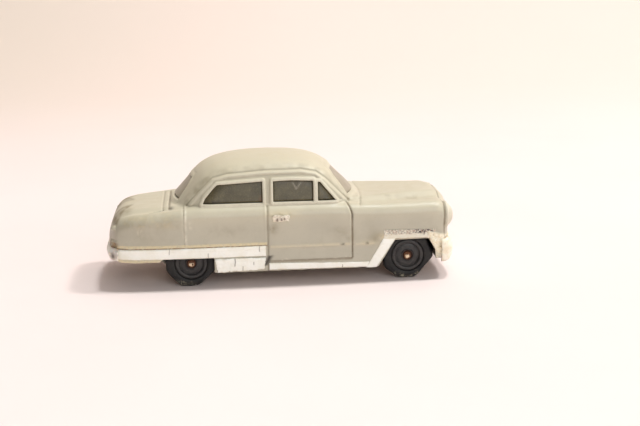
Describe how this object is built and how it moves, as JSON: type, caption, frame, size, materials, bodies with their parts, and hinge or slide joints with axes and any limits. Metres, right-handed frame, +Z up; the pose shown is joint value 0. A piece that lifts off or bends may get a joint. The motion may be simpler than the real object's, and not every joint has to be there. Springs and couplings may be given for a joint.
{
  "type": "toy saloon car",
  "caption": "Worn toy saloon car: hollow moulded body with a dark window insert and flat base plate, wire axles, free-running wheels, foil side trim and two bumpers.",
  "frame": {"origin": "on the ground under the middle of the car's length and width", "axes": "+X to the front of the car, +Y to its left side, +Z up; the tyres stand on Z = 0"},
  "size_m": [0.0768, 0.0298, 0.0277],
  "materials": {
    "body_plastic": "grey moulded plastic, worn semi-gloss, yellowed and dusty on the upper faces",
    "smoke_plastic": "dark brown-grey moulded plastic, scratched and dirty",
    "base_plastic": "grey moulded plastic, dull",
    "bumper_plastic": "cream plastic, yellowed and scuffed",
    "rusty_steel": "steel with brown surface rust",
    "hub_plastic": "black moulded plastic, satin",
    "tyre_rubber": "black rubber, hardened and cracked, with pale crumbs near the ground",
    "trim_foil": "thin pale metal foil, creased, with yellowed glue at the edges",
    "handle_foil": "thin metal foil, crumpled and dirty"
  },
  "bodies": {
    "car_body": {"body_shell": "body_plastic", "window_insert": "smoke_plastic", "base_plate": "base_plastic", "front_bumper": "bumper_plastic", "rear_bumper": "bumper_plastic", "base_rivet_front": "rusty_steel", "base_rivet_rear": "rusty_steel", "quarter_foil_right": "trim_foil", "quarter_foil_left": "trim_foil", "rear_sill_foil_right": "trim_foil", "rear_sill_foil_left": "trim_foil", "door_sill_foil_right": "trim_foil", "door_sill_foil_left": "trim_foil", "arch_riser_foil_right": "trim_foil", "arch_riser_foil_left": "trim_foil", "arch_top_foil_right": "trim_foil", "arch_top_foil_left": "trim_foil", "handle_foil_right": "handle_foil", "handle_foil_left": "handle_foil"},
    "front_axle_wire": {"front_axle": "rusty_steel"},
    "rear_axle_wire": {"rear_axle": "rusty_steel"},
    "wheel_front_right": {"hub_front_right": "hub_plastic", "tyre_front_right": "tyre_rubber"},
    "wheel_front_left": {"hub_front_left": "hub_plastic", "tyre_front_left": "tyre_rubber"},
    "wheel_rear_right": {"hub_rear_right": "hub_plastic", "tyre_rear_right": "tyre_rubber"},
    "wheel_rear_left": {"hub_rear_left": "hub_plastic", "tyre_rear_left": "tyre_rubber"}
  },
  "joints": [
    {"name": "front_axle_spin", "type": "hinge", "parent": "car_body", "child": "front_axle_wire", "pos_m": [0.0278, 0, 0.0052], "axis": [0, 1, 0], "continuous": true},
    {"name": "rear_axle_spin", "type": "hinge", "parent": "car_body", "child": "rear_axle_wire", "pos_m": [-0.0198, 0, 0.0052], "axis": [0, 1, 0], "continuous": true},
    {"name": "wheel_front_right_spin", "type": "hinge", "parent": "front_axle_wire", "child": "wheel_front_right", "pos_m": [0.0278, -0.0111, 0.0052], "axis": [0, 1, 0], "continuous": true},
    {"name": "wheel_front_left_spin", "type": "hinge", "parent": "front_axle_wire", "child": "wheel_front_left", "pos_m": [0.0278, 0.0111, 0.0052], "axis": [0, 1, 0], "continuous": true},
    {"name": "wheel_rear_right_spin", "type": "hinge", "parent": "rear_axle_wire", "child": "wheel_rear_right", "pos_m": [-0.0198, -0.0111, 0.0052], "axis": [0, 1, 0], "continuous": true},
    {"name": "wheel_rear_left_spin", "type": "hinge", "parent": "rear_axle_wire", "child": "wheel_rear_left", "pos_m": [-0.0198, 0.0111, 0.0052], "axis": [0, 1, 0], "continuous": true}
  ]
}
